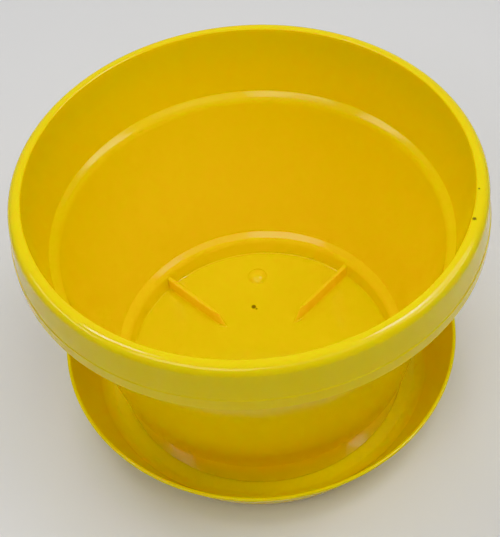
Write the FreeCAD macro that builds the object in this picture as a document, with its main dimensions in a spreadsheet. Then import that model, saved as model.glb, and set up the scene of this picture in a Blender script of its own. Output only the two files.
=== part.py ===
# Round tapered plant pot with a deep rim band, standing loose in its saucer.
# Millimetres, +Z up. The origin is the centre of the saucer's underside, on the axis of both pieces.
import FreeCAD, Part
import math
import os
import re
import Sketcher
from FreeCAD import Placement, Rotation, Vector

# Driving dimensions. The pot's heights are above the underside of its own foot.
SIZES = {
    "PotHeight": 137.5,
    "PotWall": 1.8,
    # Lip and the band that hangs from it as a hollow skirt
    "LipInnerRadius": 95.0,
    "LipOuterRadius": 100.5,
    "LipInnerRound": 1.0,
    "LipOuterRound": 4.5,
    "LipThickness": 2.3,
    "SkirtRound": 1.5,
    "BandRadius": 103.2,
    "BandDepth": 22.0,
    "BandCreaseDepth": 16.0,
    "BandStep": 0.3,
    # Shoulder, where the wall steps in below the band
    "ShoulderRadius": 90.3,
    "ShoulderTop": 103.2,
    "ShoulderWidth": 3.5,
    "ShoulderDrop": 4.0,
    "ShoulderTopRound": 1.5,
    "ShoulderLowerRound": 8.0,
    # Ledge at the foot of the wall, and the cup below it that holds the floor
    "LedgeRadius": 73.0,
    "LedgeTop": 16.0,
    "CupTopRadius": 68.7,
    "CupTop": 12.6,
    "CupRound": 5.0,
    "LedgeRound": 0.8,
    "FloorRadius": 67.8,
    "FloorTop": 2.9,
    "FloorRound": 0.8,
    # Foot ring outside the cup, with a narrow groove between them
    "FootRadius": 73.3,
    "FootTop": 19.4,
    "FootTopRadius": 75.0,
    "FootStep": 0.6,
    "FootRound": 0.5,
    "GrooveTop": 10.8,
    "BaseRecess": 1.1,
    # What stands on the floor starts this deep in it
    "RootDepth": 0.6,
    # Stiffening ribs on the floor
    "RibCount": 4,
    "RibAngle": 45,
    "RibOuterRadius": 69.0,
    "RibTopRadius": 31.0,
    "RibTipRadius": 25.5,
    "RibHeight": 7.5,
    "RibWidth": 2.4,
    # Closed drain blister: a hollow dome on the floor
    "BlisterDistance": 51.0,
    "BlisterRadius": 5.4,
    "BlisterHeight": 2.6,
    # Saucer
    "SaucerHeight": 31.9,
    "SaucerRimRadius": 97.8,
    "SaucerRimThickness": 2.0,
    "SaucerFloorTop": 2.4,
    "SaucerFloorRadius": 82.9,
    "SaucerFillet": 7.0,
    "SaucerRimRound": 0.7,
    "SaucerFootRadius": 72.0,
    "SaucerRecess": 0.8,
}

SHEET = "Sizes"


def bound(text):
    """Turns a sum over the sheet's names into an expression, such as Sizes.PotHeight - 2."""
    return re.sub(r"[A-Z]\w+", lambda name: SHEET + "." + name.group(), text)


def make_sheet(doc):
    sheet = doc.addObject("Spreadsheet::Sheet", SHEET)
    for row, (name, value) in enumerate(SIZES.items(), start=1):
        sheet.set("A%d" % row, name)
        sheet.set("B%d" % row, str(value))
        sheet.setAlias("B%d" % row, name)
    doc.recompute()
    return sheet


def value_of(sheet, text):
    return float(sheet.evalExpression(bound(text)))


def origin_feature(body, role):
    for feature in body.Origin.OriginFeatures:
        if feature.Role == role:
            return feature
    raise ValueError("no origin feature " + role)


def new_sketch(body, name):
    """A sketch in the XZ plane: its x is the distance from the axis and its y the height."""
    sketch = body.newObject("Sketcher::SketchObject", name)
    sketch.AttachmentSupport = [(origin_feature(body, "XZ_Plane"), "")]
    sketch.MapMode = "FlatFace"
    return sketch


def turn_sketch(sketch, angle):
    """Turns a sketch about the pot's axis, which is the sketch's own y."""
    sketch.AttachmentOffset = Placement(Vector(), Rotation(Vector(0, 1, 0), SIZES[angle]))
    sketch.setExpression("AttachmentOffset.Rotation.Angle", bound(angle))


def bind_distance(sketch, kind, geometry, position, size, text):
    """Fixes one coordinate of a point to the sheet, or puts the point on the axis where it is zero."""
    if abs(size) < 1e-9:
        axis = -2 if kind == "DistanceX" else -1
        sketch.addConstraint(Sketcher.Constraint("PointOnObject", geometry, position, axis))
        return
    index = sketch.addConstraint(Sketcher.Constraint(kind, -1, 1, geometry, position, size))
    sketch.setExpression("Constraints[%d]" % index, bound(text))


def bind_point(sketch, geometry, position, point, corner):
    bind_distance(sketch, "DistanceX", geometry, position, point.x, corner[0])
    bind_distance(sketch, "DistanceY", geometry, position, point.y, corner[1])


def rounded_corner(before, point, after, radius):
    """Tangent points towards each neighbour, the arc between them and whether it turns left."""
    towards = (before - point).normalize()
    onwards = (after - point).normalize()
    half = towards.getAngle(onwards) / 2
    centre = point + (towards + onwards).normalize() * (radius / math.sin(half))
    setback = radius / math.tan(half)
    start = point + towards * setback
    end = point + onwards * setback
    left = towards.cross(onwards).z < 0
    first, last = (start, end) if left else (end, start)
    angle_1 = math.atan2(first.y - centre.y, first.x - centre.x)
    angle_2 = math.atan2(last.y - centre.y, last.x - centre.x)
    if angle_2 < angle_1:
        angle_2 += 2 * math.pi
    arc = Part.ArcOfCircle(Part.Circle(centre, Vector(0, 0, 1), radius), angle_1, angle_2)
    return start, end, arc, left


def draw_outline(sheet, sketch, corners):
    """A closed outline. A corner is (radius, height) or (radius, height, rounding), as sheet texts."""
    count = len(corners)
    points = [Vector(value_of(sheet, corner[0]), value_of(sheet, corner[1]), 0) for corner in corners]
    starts = list(points)
    ends = list(points)
    arcs = {}
    for i, corner in enumerate(corners):
        if len(corner) == 3:
            radius = value_of(sheet, corner[2])
            shaped = rounded_corner(points[i - 1], points[i], points[(i + 1) % count], radius)
            starts[i], ends[i], arc, left = shaped
            arcs[i] = (arc, left)
    lines = [
        sketch.addGeometry(Part.LineSegment(ends[i], starts[(i + 1) % count]))
        for i in range(count)
    ]
    for i, corner in enumerate(corners):
        line_in = lines[i - 1]
        line_out = lines[i]
        if i not in arcs:
            sketch.addConstraint(Sketcher.Constraint("Coincident", line_in, 2, line_out, 1))
            bind_point(sketch, line_out, 1, points[i], corner)
            continue
        arc, left = arcs[i]
        curve = sketch.addGeometry(arc)
        first, last = (1, 2) if left else (2, 1)
        sketch.addConstraint(Sketcher.Constraint("Tangent", line_in, 2, curve, first))
        sketch.addConstraint(Sketcher.Constraint("Tangent", line_out, 1, curve, last))
        size = sketch.addConstraint(Sketcher.Constraint("Radius", curve, arc.Radius))
        sketch.setExpression("Constraints[%d]" % size, bound(corner[2]))
        mark = sketch.addGeometry(Part.Point(points[i]), True)
        sketch.addConstraint(Sketcher.Constraint("PointOnObject", mark, 1, line_in))
        sketch.addConstraint(Sketcher.Constraint("PointOnObject", mark, 1, line_out))
        bind_point(sketch, mark, 1, points[i], corner)


def revolve(doc, body, sheet, name, corners):
    sketch = new_sketch(body, name + "Outline")
    draw_outline(sheet, sketch, corners)
    doc.recompute()
    feature = body.newObject("PartDesign::Revolution", name)
    feature.Profile = sketch
    feature.ReferenceAxis = (sketch, ["V_Axis"])
    feature.Angle = 360
    return feature


def pot_outline():
    """Half section of the pot, from the middle of the floor outwards, over the lip and back under."""
    inside = [
        ("0", "FloorTop"),
        ("FloorRadius", "FloorTop", "FloorRound"),
        ("CupTopRadius", "CupTop", "CupRound"),
        ("LedgeRadius", "LedgeTop", "LedgeRound"),
        ("ShoulderRadius - ShoulderWidth", "ShoulderTop - ShoulderDrop", "ShoulderLowerRound"),
        ("ShoulderRadius", "ShoulderTop", "ShoulderTopRound"),
        ("LipInnerRadius", "PotHeight", "LipInnerRound"),
    ]
    crease = "PotHeight - BandCreaseDepth"
    band_bottom = "PotHeight - BandDepth"
    band = [
        ("LipOuterRadius", "PotHeight", "LipOuterRound"),
        ("BandRadius - 2 * BandStep", crease),
        ("BandRadius - BandStep", crease + " - BandStep"),
        ("BandRadius", band_bottom),
        ("BandRadius - PotWall", band_bottom),
        ("LipOuterRadius - PotWall", "PotHeight - LipThickness", "SkirtRound"),
    ]
    outside = [
        ("LipInnerRadius + PotWall", "PotHeight - LipThickness"),
        (
            "ShoulderRadius + PotWall",
            "ShoulderTop - PotWall / 2",
            "ShoulderTopRound + PotWall",
        ),
        (
            "ShoulderRadius - ShoulderWidth + PotWall",
            "ShoulderTop - ShoulderDrop - PotWall / 2",
            "ShoulderLowerRound - PotWall",
        ),
        ("FootTopRadius + FootStep", "FootTop + FootStep"),
        ("FootTopRadius", "FootTop"),
        ("FootRadius", "0", "FootRound"),
        ("FootRadius - PotWall", "0"),
        ("CupTopRadius + 2 * PotWall", "GrooveTop"),
        ("CupTopRadius + PotWall", "GrooveTop"),
        ("FloorRadius + PotWall", "BaseRecess"),
        ("0", "BaseRecess"),
    ]
    return inside + band + outside


def add_ribs(doc, body, sheet):
    sketch = new_sketch(body, "RibOutline")
    turn_sketch(sketch, "RibAngle")
    draw_outline(
        sheet,
        sketch,
        [
            ("RibTipRadius", "FloorTop - RootDepth"),
            ("RibOuterRadius", "FloorTop - RootDepth"),
            ("RibOuterRadius", "FloorTop + RibHeight"),
            ("RibTopRadius", "FloorTop + RibHeight"),
            ("RibTipRadius", "FloorTop"),
        ],
    )
    doc.recompute()
    rib = body.newObject("PartDesign::Pad", "Rib")
    rib.Profile = sketch
    rib.Midplane = True
    rib.setExpression("Length", bound("RibWidth"))
    doc.recompute()
    ring = body.newObject("PartDesign::PolarPattern", "RibRing")
    ring.Originals = [rib]
    ring.Axis = (origin_feature(body, "Z_Axis"), [""])
    ring.Angle = 360
    ring.setExpression("Occurrences", bound("RibCount"))
    body.Tip = ring
    doc.recompute()


def add_blister(doc, body):
    """A dome on the floor, and the hollow under it that keeps the wall even."""
    dome_radius = "(BlisterRadius ^ 2 + BlisterHeight ^ 2) / (2 * BlisterHeight)"
    centre_height = "FloorTop + BlisterHeight - " + dome_radius
    dome = body.newObject("PartDesign::AdditiveSphere", "Blister")
    hollow = body.newObject("PartDesign::SubtractiveSphere", "BlisterHollow")
    for sphere, radius in ((dome, dome_radius), (hollow, dome_radius + " - PotWall")):
        sphere.AttachmentSupport = [(origin_feature(body, "XY_Plane"), "")]
        sphere.MapMode = "FlatFace"
        sphere.setExpression("Radius", bound(radius))
        sphere.setExpression("AttachmentOffset.Base.y", bound("BlisterDistance"))
        sphere.setExpression("AttachmentOffset.Base.z", bound(centre_height))
    rise = "(" + dome_radius + " - BlisterHeight - RootDepth) / (" + dome_radius + ")"
    dome.setExpression("Angle1", "asin(" + bound(rise) + ")")
    body.Tip = hollow
    doc.recompute()


def make_pot(doc, sheet):
    body = doc.addObject("PartDesign::Body", "PotBody")
    body.Label = "pot"
    revolve(doc, body, sheet, "PotShell", pot_outline())
    doc.recompute()
    add_ribs(doc, body, sheet)
    add_blister(doc, body)
    body.setExpression("Placement.Base.z", bound("SaucerFloorTop"))
    return body


def make_saucer(doc, sheet):
    """The wall leans out at the same slope inside and outside, with its fillets on one centre."""
    body = doc.addObject("PartDesign::Body", "SaucerBody")
    body.Label = "saucer"
    rim_inner = "SaucerRimRadius - SaucerRimThickness"
    slope = "((%s - SaucerFloorRadius) / (SaucerHeight - SaucerFloorTop))" % rim_inner
    corners = [
        ("0", "SaucerFloorTop"),
        ("SaucerFloorRadius", "SaucerFloorTop", "SaucerFillet"),
        (rim_inner, "SaucerHeight", "SaucerRimRound"),
        ("SaucerRimRadius", "SaucerHeight", "SaucerRimRound"),
        ("SaucerRimRadius - SaucerHeight * " + slope, "0", "SaucerFillet + SaucerRimThickness"),
        ("SaucerFootRadius", "0"),
        ("SaucerFootRadius - SaucerRecess", "SaucerRecess"),
        ("0", "SaucerRecess"),
    ]
    revolve(doc, body, sheet, "SaucerShell", corners)
    return body


def check(doc, bodies):
    for item in doc.Objects:
        if "Invalid" in item.State or "Error" in item.State:
            raise RuntimeError("%s failed: %s" % (item.Name, item.State))
    for body in bodies:
        shape = body.Shape
        if shape.isNull() or not shape.isValid() or len(shape.Solids) != 1:
            raise RuntimeError(body.Label + " is not one valid solid")
        box = shape.optimalBoundingBox()
        print("%s: %.1f cm3, %.2f mm wide, from %.2f to %.2f mm high" % (
            body.Label, shape.Volume / 1000, box.XLength, box.ZMin, box.ZMax))


def main():
    doc = FreeCAD.newDocument("PlantPot")
    sheet = make_sheet(doc)
    bodies = [make_pot(doc, sheet), make_saucer(doc, sheet)]
    doc.recompute()
    check(doc, bodies)
    os.makedirs("parts", exist_ok=True)
    for body in bodies:
        body.Shape.exportStep("parts/" + body.Label + ".step")


main()
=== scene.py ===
"""A yellow moulded plant pot standing in its saucer, on a pale floor in soft light.

Lengths of the two pieces are millimetres, as a mould drawing has them, and become metres in the mesh.
Heights of the pot are above the underside of its own foot.
"""
import math

import bpy
from mathutils import Matrix, Vector
from mathutils.geometry import delaunay_2d_cdt


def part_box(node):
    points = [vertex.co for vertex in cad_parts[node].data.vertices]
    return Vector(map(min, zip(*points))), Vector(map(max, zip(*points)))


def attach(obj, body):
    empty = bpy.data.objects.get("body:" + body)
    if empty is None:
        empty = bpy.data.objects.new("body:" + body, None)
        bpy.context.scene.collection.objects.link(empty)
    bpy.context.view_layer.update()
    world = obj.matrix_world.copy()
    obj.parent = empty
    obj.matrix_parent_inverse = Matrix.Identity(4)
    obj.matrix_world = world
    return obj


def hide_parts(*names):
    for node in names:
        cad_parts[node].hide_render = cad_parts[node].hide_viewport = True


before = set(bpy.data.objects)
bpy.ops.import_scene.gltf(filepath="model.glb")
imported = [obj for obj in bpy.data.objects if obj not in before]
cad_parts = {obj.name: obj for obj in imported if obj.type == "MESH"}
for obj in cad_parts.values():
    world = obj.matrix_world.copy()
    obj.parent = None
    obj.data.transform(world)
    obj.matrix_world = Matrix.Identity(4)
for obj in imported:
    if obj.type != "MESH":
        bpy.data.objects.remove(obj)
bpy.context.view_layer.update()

MM = 0.001
POT_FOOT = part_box("pot")[0].z / MM          # the pot stands at this height, on the saucer's floor
POT_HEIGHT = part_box("pot")[1].z / MM - POT_FOOT
SAUCER_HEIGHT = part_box("saucer")[1].z / MM

# Pot
WALL = 1.8
LIP_INNER, LIP_INNER_ROUND = 95.0, 1.0
LIP_OUTER, LIP_OUTER_ROUND, LIP_THICK = 100.5, 4.5, 2.3
BAND_RADIUS, BAND_DEPTH, BAND_CREASE, BAND_STEP = 103.2, 22.0, 16.0, 0.3
SKIRT_ROUND = 1.5
SHOULDER_RADIUS, SHOULDER_TOP, SHOULDER_WIDTH, SHOULDER_DROP = 90.3, 103.2, 3.5, 4.0
SHOULDER_TOP_ROUND, SHOULDER_LOWER_ROUND = 1.5, 8.0
LEDGE_RADIUS, LEDGE_TOP, LEDGE_ROUND = 73.0, 16.0, 0.8
CUP_RADIUS, CUP_TOP, CUP_ROUND = 68.7, 12.6, 4.95
FLOOR_RADIUS, FLOOR_TOP = 67.8, 2.9
FOOT_RADIUS, FOOT_TOP_RADIUS, FOOT_TOP, FOOT_STEP = 73.3, 75.0, 19.4, 0.6
GROOVE_TOP, BASE_RECESS = 10.8, 1.1

# Floor ribs, their roundings, and how many mesh points their sides have
RIB_COUNT, RIB_HEIGHT = 4, 7.5
RIB_TIP, RIB_TIP_TOP = 25.5, 31.0
RIB_HALF_BASE, RIB_HALF_TOP, RIB_TAPER = 1.45, 1.15, 5.0
RIB_FILLET, RIB_ROUND = 0.8, 0.5
RIB_SIDE_POINTS, RIB_END_STEPS, ARC_STEPS = 16, 4, 72

# Blister on the floor, hollow underneath
BLISTER_DISTANCE, BLISTER_RADIUS, BLISTER_HEIGHT, BLISTER_FILLET = 51.0, 5.4, 2.6, 0.8
BLISTER_STEPS = 48

# Dirt: a grain and a crumb on the pot's floor towards +Y, and two grains placed by their azimuth
# on the lip. A grain is full and then gone at two reaches past its radius, less its ragged edge.
FLOOR_GRAIN_X, FLOOR_GRAIN_Y, FLOOR_GRAIN = -3.0, 30.0, 1.2
CRUMB_SHIFT, CRUMB = 1.5, 0.48
LIP_GRAIN_NEAR, LIP_GRAIN_FAR, LIP_GRAIN = math.radians(-22), math.radians(-12), 0.8
GRAIN_FULL, GRAIN_GONE, GRAIN_RAG = 0.35, 0.75, 1.1

# Mark that the mould's gate leaves on each underside
GATE_DISH, GATE_DISH_DEPTH, GATE_NUB, GATE_NUB_HEIGHT = 5.0, 0.3, 0.9, 0.25

# Saucer
SAUCER_RIM, SAUCER_RIM_THICK, SAUCER_RIM_ROUND = 97.8, 2.0, 0.9
SAUCER_FLOOR_TOP, SAUCER_FLOOR, SAUCER_FILLET = 2.4, 82.9, 7.0
SAUCER_FOOT, SAUCER_RECESS = 72.0, 0.8
SAUCER_STEPS = 320

# Light: the room's glow for reflections and for lighting, and lamps as azimuth and elevation in
# degrees, width and height in metres, and radiance. The fills are kept out of reflections, and the
# strips are seen only as reflections.
ROOM_REFLECTION, ROOM_LIGHT = 0.55, 0.08
LAMP_DISTANCE, FLOOR_SIZE = 1.3, 6.0
PANELS = [
    ("panel_right", 0, 50, (0.9, 0.5), 2.2),
    ("panel_front_left", 240, 50, (0.9, 0.5), 2.5),
    ("panel_front_right", 300, 50, (0.9, 0.5), 0.8),
]
FILLS = [
    ("fill_back", 115, 50, (0.9, 0.5), 3.5),
    ("fill_over_right", 0, 75, (0.6, 0.6), 2.2),
    ("fill_over_left", 180, 75, (0.6, 0.6), 1.0),
    ("fill_over_front", 270, 75, (0.6, 0.6), 2.5),
]
STRIPS = [
    ("strip_right", 355, 30, (0.8, 0.2), 3.5),
    ("strip_left", 185, 30, (0.8, 0.2), 3.0),
    ("strip_high_right", 0, 60, (0.15, 0.4), 18.0),
    ("strip_high_left", 180, 60, (0.15, 0.4), 18.0),
]

# Mesh: the largest turn between neighbouring facets of a rounding, the edge angle that stays sharp, the
# triangle spacing of the level stretches, and the length under which a point is on the axis
TURN_STEP = math.radians(8)
SHARP_ANGLE = math.radians(38)
POT_SPACING, SAUCER_SPACING = 7.0, 8.0
TINY = 1e-6


# ---------------------------------------------------------------- mesh building

class Shell:
    """Points and faces of one closed piece, in millimetres."""

    def __init__(self):
        self.points = []
        self.faces = []

    def point(self, x, y, z):
        self.points.append((x, y, z))
        return len(self.points) - 1

    def ring(self, radius, height, azimuths, centre=(0.0, 0.0)):
        return [
            self.point(centre[0] + radius * math.cos(a), centre[1] + radius * math.sin(a), height)
            for a in azimuths
        ]

    def bridge(self, first, second):
        """Joins two rings of as many points by a band of four-sided faces."""
        count = len(first)
        for i in range(count):
            j = (i + 1) % count
            self.faces.append((first[i], first[j], second[j], second[i]))

    def cap(self, ring, height, centre=(0.0, 0.0)):
        """Closes a ring by a fan of triangles around one point."""
        top = self.point(centre[0], centre[1], height)
        count = len(ring)
        for i in range(count):
            self.faces.append((ring[i], ring[(i + 1) % count], top))

    def turned(self, start, outline, azimuths, centre=(0.0, 0.0)):
        """Carries a ring along an outline of (radius, height) points.

        Closes it where the outline reaches the axis, and otherwise returns the last ring.
        """
        ring = start
        for radius, height in outline:
            if radius < TINY:
                self.cap(ring, height, centre)
                return None
            following = self.ring(radius, height, azimuths, centre)
            self.bridge(ring, following)
            ring = following
        return ring

    def flat(self, outer, holes, spacing):
        """Fills a level stretch between an outer loop and its holes with well shaped triangles."""
        loops = [outer] + holes
        height = self.points[outer[0]][2]
        known = [index for loop in loops for index in loop]
        edges = []
        for loop in loops:
            first = len(edges)
            count = len(loop)
            edges += [(first + i, first + (i + 1) % count) for i in range(count)]
        places = [Vector(self.points[index][:2]) for index in known]
        outlines = [[Vector(self.points[index][:2]) for index in loop] for loop in loops]
        for place in grid_points(outlines[0], spacing):
            if is_open(place, outlines) and is_clear(place, places, spacing * 0.45):
                known.append(self.point(place.x, place.y, height))
                places.append(place)
        result = delaunay_2d_cdt(places, edges, [], 0, TINY)
        origin = [sources[0] for sources in result[3]]
        for face in result[2]:
            middle = sum((result[0][i] for i in face), Vector((0.0, 0.0))) / len(face)
            if is_open(middle, outlines):
                self.faces.append(tuple(known[origin[i]] for i in face))

    def build(self, name, lift=0.0):
        """Makes the Blender object in metres, raised by a lift in millimetres, with smooth shading."""
        mesh = bpy.data.meshes.new(name)
        mesh.from_pydata([(x * MM, y * MM, (z + lift) * MM) for x, y, z in self.points], [], self.faces)
        piece = bpy.data.objects.new(name, mesh)
        bpy.context.scene.collection.objects.link(piece)
        bpy.context.view_layer.objects.active = piece
        piece.select_set(True)
        bpy.ops.object.mode_set(mode="EDIT")
        bpy.ops.mesh.select_all(action="SELECT")
        bpy.ops.mesh.normals_make_consistent(inside=False)
        bpy.ops.object.mode_set(mode="OBJECT")
        piece.select_set(False)
        mesh.shade_smooth()
        mesh.set_sharp_from_angle(angle=SHARP_ANGLE)
        weighted = piece.modifiers.new("weighted", "WEIGHTED_NORMAL")
        weighted.keep_sharp = True
        return piece


def inside(place, outline):
    """Whether a place lies inside a closed outline."""
    odd = False
    before = outline[-1]
    for corner in outline:
        if (corner.y > place.y) != (before.y > place.y):
            crossing = (before.x - corner.x) * (place.y - corner.y) / (before.y - corner.y) + corner.x
            if place.x < crossing:
                odd = not odd
        before = corner
    return odd


def is_open(place, outlines):
    """Whether a place lies inside the first outline and in none of the others."""
    return inside(place, outlines[0]) and not any(inside(place, hole) for hole in outlines[1:])


def is_clear(place, others, distance):
    return all((place - other).length > distance for other in others)


def grid_points(outline, spacing):
    """A triangular grid of places that covers an outline."""
    reach = max(corner.length for corner in outline)
    steps = int(reach / spacing)
    row_height = spacing * math.sin(math.radians(60))
    for row in range(-steps - 2, steps + 3):
        shift = spacing / 2 if row % 2 else 0.0
        for column in range(-steps - 1, steps + 2):
            yield Vector((column * spacing + shift, row * row_height))


def rounded(corners):
    """An outline's points. A corner is (radius, height) or (radius, height, rounding)."""
    points = []
    for i, corner in enumerate(corners):
        here = Vector(corner[:2])
        if len(corner) == 2:
            points.append(tuple(here))
            continue
        towards = (Vector(corners[i - 1][:2]) - here).normalized()
        onwards = (Vector(corners[i + 1][:2]) - here).normalized()
        half = towards.angle(onwards) / 2
        centre = here + (towards + onwards).normalized() * (corner[2] / math.sin(half))
        start = here + towards * (corner[2] / math.tan(half)) - centre
        turn = math.pi - 2 * half
        if towards.x * onwards.y - towards.y * onwards.x > 0:
            turn = -turn
        steps = max(2, math.ceil(abs(turn) / TURN_STEP))
        for step in range(steps + 1):
            angle = turn * step / steps
            spun = Matrix.Rotation(angle, 2) @ start
            points.append(tuple(centre + spun))
    return points


def evenly(count):
    """Azimuths at equal steps round the whole circle."""
    return [2 * math.pi * i / count for i in range(count)]


# ---------------------------------------------------------------- the pot

def rib_levels():
    """Heights above the floor, with how far each level stands out in the fillet or in at the top."""
    levels = []
    steps = 6
    for i in range(steps + 1):
        turn = math.pi / 2 * i / steps
        levels.append((RIB_FILLET * (1 - math.cos(turn)), RIB_FILLET * (1 - math.sin(turn)), 0.0))
    straight = RIB_HEIGHT - RIB_ROUND - RIB_FILLET
    for share in (0.35, 0.7, 1.0):
        levels.append((RIB_FILLET + straight * share, 0.0, 0.0))
    for i in range(1, 5):
        turn = math.pi / 2 * i / 4
        levels.append((RIB_HEIGHT - RIB_ROUND * (1 - math.sin(turn)), 0.0, RIB_ROUND * (1 - math.cos(turn))))
    return levels


def cup_radius(height):
    """Radius of the cup's wall at a height above the floor."""
    return FLOOR_RADIUS + (CUP_RADIUS - FLOOR_RADIUS) * height / (CUP_TOP - FLOOR_TOP)


def rib_half_outline(height, out, inset, wall):
    """One side of a rib's outline at a level, from the cup's wall to just before the tip."""
    share = height / RIB_HEIGHT
    half = RIB_HALF_BASE + (RIB_HALF_TOP - RIB_HALF_BASE) * share + out - inset
    tip = RIB_TIP + (RIB_TIP_TOP - RIB_TIP) * share - out * 1.5 + inset
    end = math.sqrt(wall * wall - half * half)
    side = []
    for i in range(RIB_SIDE_POINTS):
        along = tip + (end - tip) * (1 - i / RIB_SIDE_POINTS) ** 2
        side.append((along, half * math.sqrt(min(1.0, (along - tip) / RIB_TAPER))))
    return side, tip


def pot_bottom(shell):
    """The floor, its ribs and the start of the cup's wall. Returns the wall's last ring and azimuths."""
    quarter = 2 * math.pi / RIB_COUNT
    contours = []
    for height, out, inset in rib_levels():
        wall = cup_radius(height) - out
        side, tip = rib_half_outline(height, out, inset, wall)
        spread = math.atan2(side[0][1], side[0][0])
        contour = []
        ribs = []
        for rib in range(RIB_COUNT):
            azimuth = quarter * (rib + 0.5)
            turn = Matrix.Rotation(azimuth, 2)
            level = FLOOR_TOP + height
            right = [shell.point(*(turn @ Vector((u, -v))), level) for u, v in side]
            middle = shell.point(*(turn @ Vector((tip, 0.0))), level)
            left = [shell.point(*(turn @ Vector((u, v))), level) for u, v in side]
            arc_start = azimuth + spread
            arc = quarter - 2 * spread
            azimuths = [arc_start + arc * i / ARC_STEPS for i in range(1, ARC_STEPS)]
            between = shell.ring(wall, level, azimuths)
            contour += right + [middle] + left[::-1] + between
            ribs.append((azimuth, spread, right, middle, left, between, azimuths))
        contours.append(contour)
    for below, above in zip(contours, contours[1:]):
        shell.bridge(below, above)
    blister = evenly(BLISTER_STEPS)
    place = (0.0, BLISTER_DISTANCE)
    foot = shell.ring(BLISTER_RADIUS + BLISTER_FILLET, FLOOR_TOP, blister, place)
    shell.turned(foot, blister_outline(), blister, place)
    shell.flat(contours[0], [foot], POT_SPACING)
    return rib_tops(shell, ribs)


def rib_tops(shell, ribs):
    """Closes each rib's top face against the cup's wall, and gathers the wall's whole ring."""
    ring = []
    azimuths = []
    level = FLOOR_TOP + RIB_HEIGHT
    for azimuth, spread, right, middle, left, between, arc_azimuths in ribs:
        end_azimuths = [
            azimuth - spread + 2 * spread * i / RIB_END_STEPS for i in range(RIB_END_STEPS + 1)
        ]
        end = shell.ring(cup_radius(RIB_HEIGHT), level, end_azimuths[1:-1])
        shell.faces.append((right[-1], left[-1], middle))
        for i in range(RIB_SIDE_POINTS - 2, 0, -1):
            shell.faces.append((right[i], left[i], left[i + 1], right[i + 1]))
        shell.faces.append((right[0], *end, left[0], left[1], right[1]))
        ring += [right[0], *end, left[0], *between]
        azimuths += end_azimuths + arc_azimuths
    return ring, azimuths


def blister_sphere():
    """Radius of the blister's dome, and the height of its centre."""
    radius = (BLISTER_RADIUS ** 2 + BLISTER_HEIGHT ** 2) / (2 * BLISTER_HEIGHT)
    return radius, FLOOR_TOP + BLISTER_HEIGHT - radius


def blister_outline():
    """The blister's outline inwards from its foot: a small fillet, then a dome."""
    sphere, centre = blister_sphere()
    points = []
    for share in (0.75, 0.5, 0.25, 0.0):
        radius = BLISTER_RADIUS + BLISTER_FILLET * (2 * share - 1) * 0.5
        points.append((radius, FLOOR_TOP + 0.5 * BLISTER_FILLET * (1 - share) ** 2))
    start = points[-1][0]
    for i in range(1, 9):
        radius = start * math.cos(math.pi / 2 * i / 9)
        points.append((radius, centre + math.sqrt(sphere ** 2 - radius ** 2)))
    points.append((0.0, FLOOR_TOP + BLISTER_HEIGHT))
    return points


def pot_outline():
    """From the cup's wall up over the lip, down the outside and under the foot to the base."""
    crease = POT_HEIGHT - BAND_CREASE
    bottom = POT_HEIGHT - BAND_DEPTH
    top = POT_HEIGHT - LIP_THICK
    corners = [
        (cup_radius(RIB_HEIGHT), FLOOR_TOP + RIB_HEIGHT),
        (CUP_RADIUS, CUP_TOP, CUP_ROUND),
        (LEDGE_RADIUS, LEDGE_TOP, LEDGE_ROUND),
        (SHOULDER_RADIUS - SHOULDER_WIDTH, SHOULDER_TOP - SHOULDER_DROP, SHOULDER_LOWER_ROUND),
        (SHOULDER_RADIUS, SHOULDER_TOP, SHOULDER_TOP_ROUND),
        (LIP_INNER, POT_HEIGHT, LIP_INNER_ROUND),
        (LIP_OUTER, POT_HEIGHT, LIP_OUTER_ROUND),
        (BAND_RADIUS - 2 * BAND_STEP, crease, 0.3),
        (BAND_RADIUS - BAND_STEP, crease - BAND_STEP, 0.25),
        (BAND_RADIUS, bottom, 0.25),
        (BAND_RADIUS - WALL, bottom, 0.25),
        (LIP_OUTER - WALL, top, SKIRT_ROUND),
        (LIP_INNER + WALL, top, 0.5),
        (SHOULDER_RADIUS + WALL, SHOULDER_TOP - WALL / 2, SHOULDER_TOP_ROUND + WALL),
        (
            SHOULDER_RADIUS - SHOULDER_WIDTH + WALL,
            SHOULDER_TOP - SHOULDER_DROP - WALL / 2,
            SHOULDER_LOWER_ROUND - WALL,
        ),
        (FOOT_TOP_RADIUS + FOOT_STEP, FOOT_TOP + FOOT_STEP, 0.6),
        (FOOT_TOP_RADIUS, FOOT_TOP, 0.8),
        (FOOT_RADIUS, 0.0, 0.6),
        (FOOT_RADIUS - WALL, 0.0, 0.3),
        (CUP_RADIUS + 2 * WALL, GROOVE_TOP, 0.4),
        (CUP_RADIUS + WALL, GROOVE_TOP, 0.4),
        (FLOOR_RADIUS + WALL, BASE_RECESS, 0.6),
        (FLOOR_RADIUS - 3.0, BASE_RECESS),
    ]
    return rounded(corners)


def gate_outline(level):
    """The shallow dish and nub at the middle of an underside, from the dish's rim to the axis."""
    dish = level + GATE_DISH_DEPTH
    return [
        (GATE_DISH - GATE_DISH_DEPTH, dish),
        (GATE_NUB + 0.15, dish),
        (GATE_NUB, dish - GATE_NUB_HEIGHT * 0.6),
        (GATE_NUB * 0.7, dish - GATE_NUB_HEIGHT),
        (0.0, dish - GATE_NUB_HEIGHT * 0.8),
    ]


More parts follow.
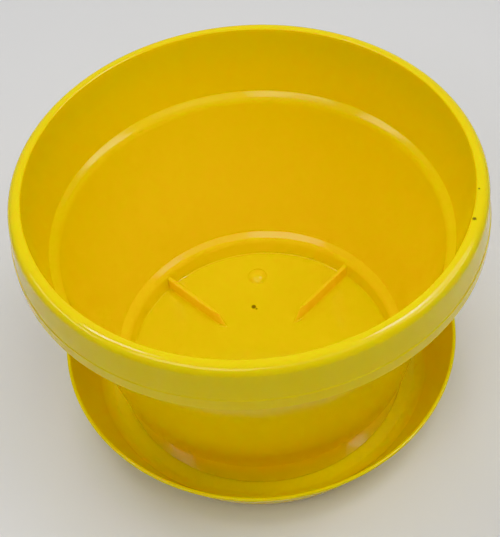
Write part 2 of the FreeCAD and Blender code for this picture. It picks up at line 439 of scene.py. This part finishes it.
def make_pot():
    shell = Shell()
    ring, azimuths = pot_bottom(shell)
    last = shell.turned(ring, pot_outline()[1:], azimuths)
    round_steps = evenly(BLISTER_STEPS)
    sphere, centre = blister_sphere()
    hollow = sphere - WALL
    mouth = math.sqrt(hollow ** 2 - (BASE_RECESS - centre) ** 2)
    place = (0.0, BLISTER_DISTANCE)
    dimple = shell.ring(mouth, BASE_RECESS, round_steps, place)
    cave = [mouth * math.cos(math.pi / 2 * i / 7) for i in range(1, 8)]
    outline = [(radius, centre + math.sqrt(hollow ** 2 - radius ** 2)) for radius in cave]
    shell.turned(dimple, outline, round_steps, place)
    gate = shell.ring(GATE_DISH, BASE_RECESS, round_steps)
    shell.turned(gate, gate_outline(BASE_RECESS), round_steps)
    shell.flat(last, [dimple, gate], POT_SPACING)
    return shell.build("pot_moulding", POT_FOOT)


# ---------------------------------------------------------------- the saucer

def saucer_outline():
    """From the floor up over the rim, down the outside and under the foot to the gate's dish."""
    inner_rim = SAUCER_RIM - SAUCER_RIM_THICK
    slope = (inner_rim - SAUCER_FLOOR) / (SAUCER_HEIGHT - SAUCER_FLOOR_TOP)
    corners = [
        (SAUCER_FOOT, SAUCER_FLOOR_TOP),
        (SAUCER_FLOOR, SAUCER_FLOOR_TOP, SAUCER_FILLET),
        (inner_rim, SAUCER_HEIGHT, SAUCER_RIM_ROUND),
        (SAUCER_RIM, SAUCER_HEIGHT, SAUCER_RIM_ROUND),
        (SAUCER_RIM - SAUCER_HEIGHT * slope, 0.0, SAUCER_FILLET + SAUCER_RIM_THICK),
        (SAUCER_FOOT, 0.0, 0.3),
        (SAUCER_FOOT - SAUCER_RECESS, SAUCER_RECESS, 0.4),
        (GATE_DISH, SAUCER_RECESS),
    ]
    return rounded(corners) + gate_outline(SAUCER_RECESS)


def make_saucer():
    shell = Shell()
    azimuths = evenly(SAUCER_STEPS)
    start = shell.ring(SAUCER_FOOT, SAUCER_FLOOR_TOP, azimuths)
    shell.turned(start, saucer_outline()[1:], azimuths)
    shell.flat(start, [], SAUCER_SPACING)
    return shell.build("saucer_moulding")


# ---------------------------------------------------------------- materials

class Nodes:
    """A material's node tree, with the few node forms that these finishes use."""

    def __init__(self, name):
        self.material = bpy.data.materials.new(name)
        self.material.use_nodes = True
        self.tree = self.material.node_tree
        self.shader = self.tree.nodes["Principled BSDF"]

    def add(self, kind, inputs=(), **settings):
        node = self.tree.nodes.new(kind)
        for key, value in settings.items():
            setattr(node, key, value)
        for key, value in dict(inputs).items():
            if isinstance(value, bpy.types.NodeSocket):
                self.tree.links.new(value, node.inputs[key])
            else:
                node.inputs[key].default_value = value
        return node

    def place(self, scale=(1.0, 1.0, 1.0), turn=(0.0, 0.0, 0.0)):
        coords = self.add("ShaderNodeTexCoord")
        mapping = self.add("ShaderNodeMapping", {"Vector": coords.outputs["Object"]})
        mapping.inputs["Scale"].default_value = scale
        mapping.inputs["Rotation"].default_value = turn
        return mapping.outputs["Vector"]

    def noise(self, vector, scale, detail=2.0, rough=0.5, distortion=0.0):
        node = self.add("ShaderNodeTexNoise", {"Vector": vector, "Scale": scale, "Detail": detail})
        node.inputs["Roughness"].default_value = rough
        node.inputs["Distortion"].default_value = distortion
        return node.outputs["Fac"]

    def span(self, value, low, high, out_low=0.0, out_high=1.0):
        """Maps low..high to out_low..out_high and stops at both ends."""
        inputs = {"Value": value, "From Min": low, "From Max": high}
        inputs.update({"To Min": out_low, "To Max": out_high})
        return self.add("ShaderNodeMapRange", inputs).outputs["Result"]

    def math(self, operation, first, second=0.0):
        node = self.add("ShaderNodeMath", {0: first, 1: second}, operation=operation)
        return node.outputs["Value"]

    def mix(self, factor, first, second):
        node = self.add("ShaderNodeMix", data_type="RGBA")
        for index, value in ((0, factor), (6, first), (7, second)):
            if isinstance(value, bpy.types.NodeSocket):
                self.tree.links.new(value, node.inputs[index])
            else:
                node.inputs[index].default_value = value
        return node.outputs[2]

    def bump(self, height, distance, strength=1.0, onto=None):
        inputs = {"Height": height, "Distance": distance, "Strength": strength}
        if onto is not None:
            inputs["Normal"] = onto
        return self.add("ShaderNodeBump", inputs).outputs["Normal"]

    def finish(self, colour, roughness, normal):
        links = self.tree.links
        links.new(colour, self.shader.inputs["Base Color"])
        links.new(roughness, self.shader.inputs["Roughness"])
        links.new(normal, self.shader.inputs["Normal"])
        return self.material


def moulded_plastic(name, base, deep, pale, gloss, dirt=None):
    """Satin-gloss polypropylene: slow colour drift, flow streaks, scuffs, dust, specks and fine skin.

    The function dirt, where one is given, adds grains at places of their own.
    """
    n = Nodes(name)
    n.shader.inputs["IOR"].default_value = 1.49
    n.shader.inputs["Subsurface Weight"].default_value = 0.7
    n.shader.inputs["Subsurface Radius"].default_value = (1.0, 0.55, 0.05)
    n.shader.inputs["Subsurface Scale"].default_value = 0.004
    plain = n.place()
    upright = n.place(scale=(1.0, 1.0, 0.12))
    drift = n.noise(plain, 14.0, 3.0)
    flow = n.noise(upright, 60.0, 3.0, 0.6)
    colour = n.mix(n.span(drift, 0.35, 0.7, 0.0, 0.55), base, deep)
    colour = n.mix(n.span(flow, 0.45, 0.75, 0.0, 0.10), colour, pale)
    dust = n.math("MULTIPLY", n.noise(plain, 900.0, 2.0, 0.7), n.noise(plain, 22.0, 3.0))
    colour = n.mix(n.span(dust, 0.36, 0.5, 0.0, 0.07), colour, pale)
    colour = n.mix(specks(n, plain), colour, (0.11, 0.065, 0.012, 1.0))
    if dirt is not None:
        colour = n.mix(dirt(n, plain), colour, (0.10, 0.06, 0.015, 1.0))
    scuff = scuffs(n)
    smear = n.noise(plain, 30.0, 4.0, 0.65, 0.4)
    rough = n.span(smear, 0.3, 0.75, gloss - 0.03, gloss + 0.06)
    rough = n.math("ADD", rough, n.math("MULTIPLY", scuff, 0.06))
    wave = n.noise(upright, 38.0, 2.0)
    skin = n.noise(plain, 1500.0, 2.0)
    normal = n.bump(wave, 0.0005, 0.5)
    normal = n.bump(skin, 0.000012, 0.6, normal)
    normal = n.bump(scuff, 0.00001, 0.3, normal)
    return n.finish(colour, rough, normal)


def grain(n, vector, ragged, place, radius):
    """One dark grain of dirt at a place given in millimetres, with a ragged edge."""
    centre = tuple(length * MM for length in place)
    offset = n.add("ShaderNodeVectorMath", {0: vector, 1: centre}, operation="DISTANCE")
    away = n.math("ADD", offset.outputs["Value"], ragged)
    return n.span(away, (radius + GRAIN_FULL) * MM, (radius + GRAIN_GONE) * MM, 0.85, 0.0)


def pot_dirt(n, vector):
    """The grain on the pot's floor with a crumb beside it, and the two grains on its lip."""
    ragged = n.math("MULTIPLY", n.noise(vector, 2600.0, 2.0, 0.7), GRAIN_RAG * MM)
    level = POT_FOOT + FLOOR_TOP
    crumb = (FLOOR_GRAIN_X + CRUMB_SHIFT, FLOOR_GRAIN_Y - CRUMB_SHIFT, level)
    dirt = grain(n, vector, ragged, (FLOOR_GRAIN_X, FLOOR_GRAIN_Y, level), FLOOR_GRAIN)
    dirt = n.math("MAXIMUM", dirt, grain(n, vector, ragged, crumb, CRUMB))
    edge = LIP_INNER + LIP_INNER_ROUND
    for azimuth, radius in ((LIP_GRAIN_NEAR, LIP_GRAIN), (LIP_GRAIN_FAR, LIP_GRAIN / 2)):
        place = (edge * math.cos(azimuth), edge * math.sin(azimuth), POT_FOOT + POT_HEIGHT)
        dirt = n.math("MAXIMUM", dirt, grain(n, vector, ragged, place, radius))
    return dirt


def specks(n, vector):
    """A few small dark grains of dirt, in some of the cells of a coarse cell pattern only."""
    cells = n.add("ShaderNodeTexVoronoi", {"Vector": vector, "Scale": 62.0})
    near = n.span(cells.outputs["Distance"], 0.022, 0.034, 1.0, 0.0)
    separate = n.add("ShaderNodeSeparateColor", {"Color": cells.outputs["Color"]})
    chosen = n.math("GREATER_THAN", separate.outputs["Red"], 0.955)
    return n.math("MULTIPLY", n.math("MULTIPLY", near, chosen), 0.8)


def scuffs(n):
    """Hairline marks from nesting and handling, mostly upright, in patches."""
    total = None
    for scale, tilt in (((1.0, 1.0, 0.035), 0.12), ((1.0, 1.0, 0.05), -0.5)):
        lines = n.noise(n.place(scale=scale, turn=(tilt, tilt * 0.6, 0.0)), 900.0, 1.0)
        thin = n.span(lines, 0.70, 0.74)
        total = thin if total is None else n.math("MAXIMUM", total, thin)
    patches = n.span(n.noise(n.place(), 16.0, 2.0), 0.5, 0.68)
    return n.math("MULTIPLY", total, patches)


def floor_material():
    """A matt pale sheet."""
    n = Nodes("pale_floor")
    n.shader.inputs["Specular IOR Level"].default_value = 0.25
    plain = n.place()
    colour = n.mix(n.noise(plain, 3.0, 3.0), (0.80, 0.795, 0.79, 1.0), (0.83, 0.825, 0.82, 1.0))
    rough = n.span(n.noise(plain, 60.0, 3.0), 0.3, 0.7, 0.55, 0.65)
    normal = n.bump(n.noise(plain, 700.0, 3.0), 0.0001, 0.3)
    return n.finish(colour, rough, normal)


# ---------------------------------------------------------------- stage, light and camera

def make_floor():
    half = FLOOR_SIZE / 2
    corners = [(-half, -half, 0.0), (half, -half, 0.0), (half, half, 0.0), (-half, half, 0.0)]
    mesh = bpy.data.meshes.new("floor")
    mesh.from_pydata(corners, [], [(0, 1, 2, 3)])
    floor = bpy.data.objects.new("floor", mesh)
    bpy.context.scene.collection.objects.link(floor)
    floor.data.materials.append(floor_material())


def make_lamp(name, azimuth, elevation, size, radiance):
    """A soft rectangular light that faces the pot, placed by its direction and given by its radiance."""
    around, up = math.radians(azimuth), math.radians(elevation)
    level = math.cos(up)
    towards = Vector((math.cos(around) * level, math.sin(around) * level, math.sin(up)))
    data = bpy.data.lights.new(name, "AREA")
    data.shape = "RECTANGLE"
    data.size, data.size_y = size
    data.energy = math.pi * radiance * size[0] * size[1]
    lamp = bpy.data.objects.new(name, data)
    lamp.location = towards * LAMP_DISTANCE + Vector((0.0, 0.0, POT_HEIGHT * MM * 0.6))
    lamp.rotation_euler = (-towards).to_track_quat("-Z", "Y").to_euler()
    bpy.context.scene.collection.objects.link(lamp)
    return lamp


def make_world():
    """A pale room, bright in reflections and behind the floor, while the lamps do most of the lighting."""
    world = bpy.data.worlds.new("room")
    world.use_nodes = True
    nodes, links = world.node_tree.nodes, world.node_tree.links
    background = nodes["Background"]
    background.inputs["Color"].default_value = (0.97, 0.98, 1.0, 1.0)
    rays = nodes.new("ShaderNodeLightPath")
    strength = nodes.new("ShaderNodeMapRange")
    strength.inputs["To Min"].default_value = ROOM_REFLECTION
    strength.inputs["To Max"].default_value = ROOM_LIGHT
    links.new(rays.outputs["Is Diffuse Ray"], strength.inputs["Value"])
    links.new(strength.outputs["Result"], background.inputs["Strength"])
    bpy.context.scene.world = world


def make_camera():
    """A camera 45 degrees above the lip, close enough for strong perspective, and rolled a little.

    It starts out looking at the lip's centre, and is then turned by its own yaw, pitch and roll.
    """
    distance, elevation, around = 0.42115, math.radians(45.05), math.radians(1.4)
    yaw, pitch, roll = math.radians(0.26), math.radians(-5.617), math.radians(-5.112)
    back = Vector((0.0, -math.cos(elevation), math.sin(elevation)))
    right = Vector((1.0, 0.0, 0.0))
    up = back.cross(right)
    looking = Matrix((right, up, back)).transposed().to_4x4()
    turned = looking @ Matrix.Rotation(yaw, 4, "Y") @ Matrix.Rotation(pitch, 4, "X")
    turned = turned @ Matrix.Rotation(roll, 4, "Z")
    lip_plane = Matrix.Translation((0.0, 0.0, (POT_FOOT + POT_HEIGHT) * MM))
    data = bpy.data.cameras.new("camera")
    data.sensor_fit = "AUTO"
    data.sensor_width = 36.0
    data.lens = 67.04
    camera = bpy.data.objects.new("camera", data)
    spin = Matrix.Rotation(around, 4, "Z")
    camera.matrix_world = lip_plane @ spin @ Matrix.Translation(back * distance) @ turned
    bpy.context.scene.collection.objects.link(camera)
    bpy.context.scene.camera = camera


# ---------------------------------------------------------------- putting it together

def show(piece, node, body, material):
    piece.data.materials.append(material)
    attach(piece, body)
    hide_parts(node)


POT_PLASTIC = moulded_plastic(
    "pot_plastic", (0.94, 0.70, 0.002, 1.0), (0.93, 0.68, 0.002, 1.0), (0.93, 0.76, 0.10, 1.0), 0.12,
    pot_dirt,
)
SAUCER_PLASTIC = moulded_plastic(
    "saucer_plastic", (0.96, 0.72, 0.002, 1.0), (0.95, 0.70, 0.002, 1.0), (0.94, 0.76, 0.09, 1.0), 0.14
)
show(make_pot(), "pot", "pot_body", POT_PLASTIC)
show(make_saucer(), "saucer", "saucer_body", SAUCER_PLASTIC)

make_floor()
make_world()
for panel in PANELS:
    make_lamp(*panel)
for fill in FILLS:
    make_lamp(*fill).visible_glossy = False
for strip in STRIPS:
    make_lamp(*strip).visible_diffuse = False
make_camera()
bpy.context.scene.view_settings.view_transform = "Khronos PBR Neutral"
